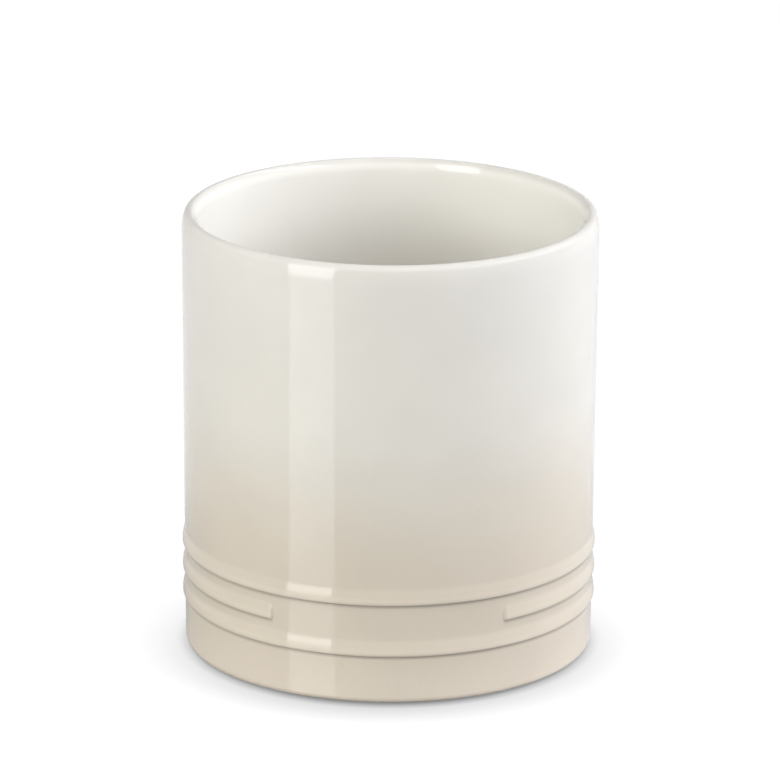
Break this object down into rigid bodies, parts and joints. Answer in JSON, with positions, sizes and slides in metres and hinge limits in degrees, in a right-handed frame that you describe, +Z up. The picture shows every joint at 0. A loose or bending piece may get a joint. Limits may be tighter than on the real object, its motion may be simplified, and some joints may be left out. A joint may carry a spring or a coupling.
{
  "type": "utensil crock",
  "caption": "Open cylindrical glazed stoneware crock with a rounded rim, raised ribs near the base and a cream-to-beige fade, for standing cooking utensils in.",
  "frame": {"origin": "centre of the foot ring on the surface that the crock stands on", "axes": "+Z up along the crock's axis; -Y is the front, at the middle of the opening in the middle rib; +X is to the right as seen from the front"},
  "size_m": [0.1396, 0.1396, 0.15],
  "materials": {
    "stoneware": "bare fired clay, fine sandy grain",
    "outside_glaze": "glossy, cream at the top fading to beige at the bottom",
    "inside_glaze": "glossy cream",
    "base_glaze": "glossy beige"
  },
  "bodies": {
    "root": {"stoneware_body": "stoneware", "outside_glaze": "outside_glaze", "inside_glaze": "inside_glaze", "base_glaze": "base_glaze"}
  },
  "joints": []
}
